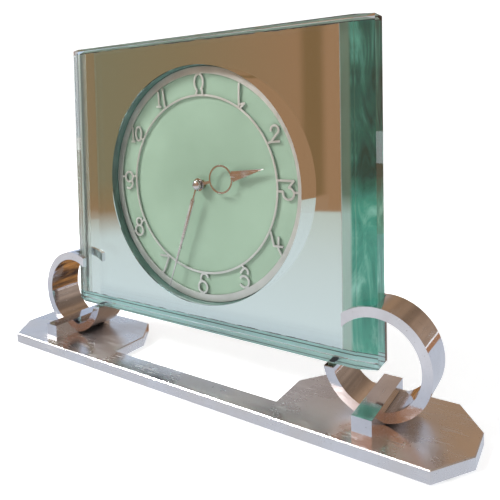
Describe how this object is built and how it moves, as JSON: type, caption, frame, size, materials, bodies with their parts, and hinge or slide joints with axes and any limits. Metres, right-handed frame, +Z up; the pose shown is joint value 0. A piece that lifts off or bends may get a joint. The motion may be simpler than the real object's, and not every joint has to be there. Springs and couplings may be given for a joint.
{
  "type": "mantel clock",
  "caption": "Mirror glass mantel clock: round recessed dial in a thick bevelled glass slab, held in chromed bracket rings on a low chromed base.",
  "frame": {"origin": "bottom centre of the bounding box, on the surface the clock stands on", "axes": "+X to the dial's right seen from the front, +Y from the dial towards the back, +Z up"},
  "size_m": [0.324, 0.0844, 0.21],
  "materials": {
    "chromed_brass": "polished plate",
    "felt": "felt",
    "steel": "fine turned",
    "plate_glass": "polished",
    "silvering": "silvered film",
    "hardboard": "painted board",
    "pan_enamel": "satin",
    "dial_enamel": "satin",
    "silvered_metal": "satin",
    "hand_plate": "polished plate",
    "train_brass": "fine turned",
    "cover_enamel": "satin",
    "spring_steel": "blued",
    "key_plate": "polished plate"
  },
  "bodies": {
    "clock_case": {"base_plate": "chromed_brass", "base_pads": "felt", "base_screws": "steel", "bracket_ring_left": "chromed_brass", "bracket_ring_right": "chromed_brass", "bracket_bar_left": "chromed_brass", "bracket_bar_right": "chromed_brass", "support_pads": "felt", "lip_screws": "steel", "glass_slab": "plate_glass", "mirror_silvering": "silvering", "rear_panel": "hardboard", "packing_strips": "hardboard", "dial_pan": "pan_enamel", "dial_disc": "dial_enamel", "chapter_ring": "silvered_metal", "chapter_spacers": "silvered_metal", "pan_studs": "steel", "pan_screws": "steel", "minute_wheel_post": "steel", "hairspring": "spring_steel", "click_post": "steel", "movement_front_plate": "train_brass", "movement_back_plate": "train_brass", "movement_pillars": "train_brass", "pillar_nuts": "steel", "dial_feet": "steel", "movement_cover": "cover_enamel", "cover_screws": "steel", "regulator_post": "steel"},
    "minute_work": {"minute_hand": "hand_plate", "hand_nut": "hand_plate", "cannon_pinion": "steel", "centre_arbor": "steel", "set_knob": "train_brass"},
    "hour_work": {"hour_hand": "hand_plate", "hour_wheel": "train_brass"},
    "motion_wheel": {"minute_wheel": "train_brass"},
    "centre": {"centre_wheel": "train_brass"},
    "third": {"third_wheel": "train_brass"},
    "escape": {"escape_wheel": "train_brass"},
    "barrel": {"mainspring_barrel": "train_brass", "barrel_lid": "train_brass", "mainspring": "spring_steel"},
    "winding": {"barrel_arbor": "steel", "ratchet_wheel": "steel", "winding_key": "key_plate"},
    "click": {"ratchet_click": "steel"},
    "lever": {"pallet_lever": "steel"},
    "balance": {"balance_wheel": "train_brass"},
    "regulator": {"regulator_lever": "train_brass"}
  },
  "joints": [
    {"name": "minute_turn", "type": "hinge", "parent": "clock_case", "child": "minute_work", "pos_m": [0, -0.014, 0.119], "axis": [0, 1, 0], "continuous": true},
    {"name": "hour_turn", "type": "hinge", "parent": "clock_case", "child": "hour_work", "pos_m": [0, -0.012, 0.119], "axis": [0, 1, 0], "continuous": true},
    {"name": "motion_wheel_turn", "type": "hinge", "parent": "clock_case", "child": "motion_wheel", "pos_m": [0.00919, -0.004, 0.11129], "axis": [0, 1, 0], "continuous": true},
    {"name": "third_turn", "type": "hinge", "parent": "clock_case", "child": "third", "pos_m": [0.01263, 0.01, 0.1236], "axis": [0, 1, 0], "continuous": true},
    {"name": "centre_turn", "type": "hinge", "parent": "clock_case", "child": "centre", "pos_m": [0, 0.006, 0.119], "axis": [0, 1, 0], "continuous": true},
    {"name": "barrel_turn", "type": "hinge", "parent": "clock_case", "child": "barrel", "pos_m": [-0.01154, 0.011, 0.10746], "axis": [0, 1, 0], "continuous": true},
    {"name": "escape_turn", "type": "hinge", "parent": "clock_case", "child": "escape", "pos_m": [0.01081, 0.01, 0.13394], "axis": [0, 1, 0], "continuous": true},
    {"name": "winding_turn", "type": "hinge", "parent": "clock_case", "child": "winding", "pos_m": [-0.01154, 0.02, 0.10746], "axis": [0, 1, 0], "continuous": true},
    {"name": "click_lift", "type": "hinge", "parent": "clock_case", "child": "click", "pos_m": [-0.01054, 0.02, 0.11846], "axis": [0, 1, 0], "range_deg": [-12, 0], "stiffness_Nm_per_rad": 0.0001},
    {"name": "lever_rock", "type": "hinge", "parent": "clock_case", "child": "lever", "pos_m": [0.00483, 0.01, 0.13446], "axis": [0, 1, 0], "range_deg": [-3, 3]},
    {"name": "balance_swing", "type": "hinge", "parent": "clock_case", "child": "balance", "pos_m": [-0.00354, 0.01, 0.13519], "axis": [0, 1, 0], "range_deg": [-120, 120], "stiffness_Nm_per_rad": 0.000004},
    {"name": "regulator_set", "type": "hinge", "parent": "clock_case", "child": "regulator", "pos_m": [-0.00354, 0.022, 0.13519], "axis": [0, 1, 0], "range_deg": [-15, 15]}
  ],
  "couplings": [
    {"joint": "hour_turn", "follows": "minute_turn", "ratio": 0.083333},
    {"joint": "motion_wheel_turn", "follows": "minute_turn", "ratio": -0.33333},
    {"joint": "centre_turn", "follows": "third_turn", "ratio": -0.14286},
    {"joint": "barrel_turn", "follows": "third_turn", "ratio": 0.020408},
    {"joint": "escape_turn", "follows": "third_turn", "ratio": -6}
  ]
}
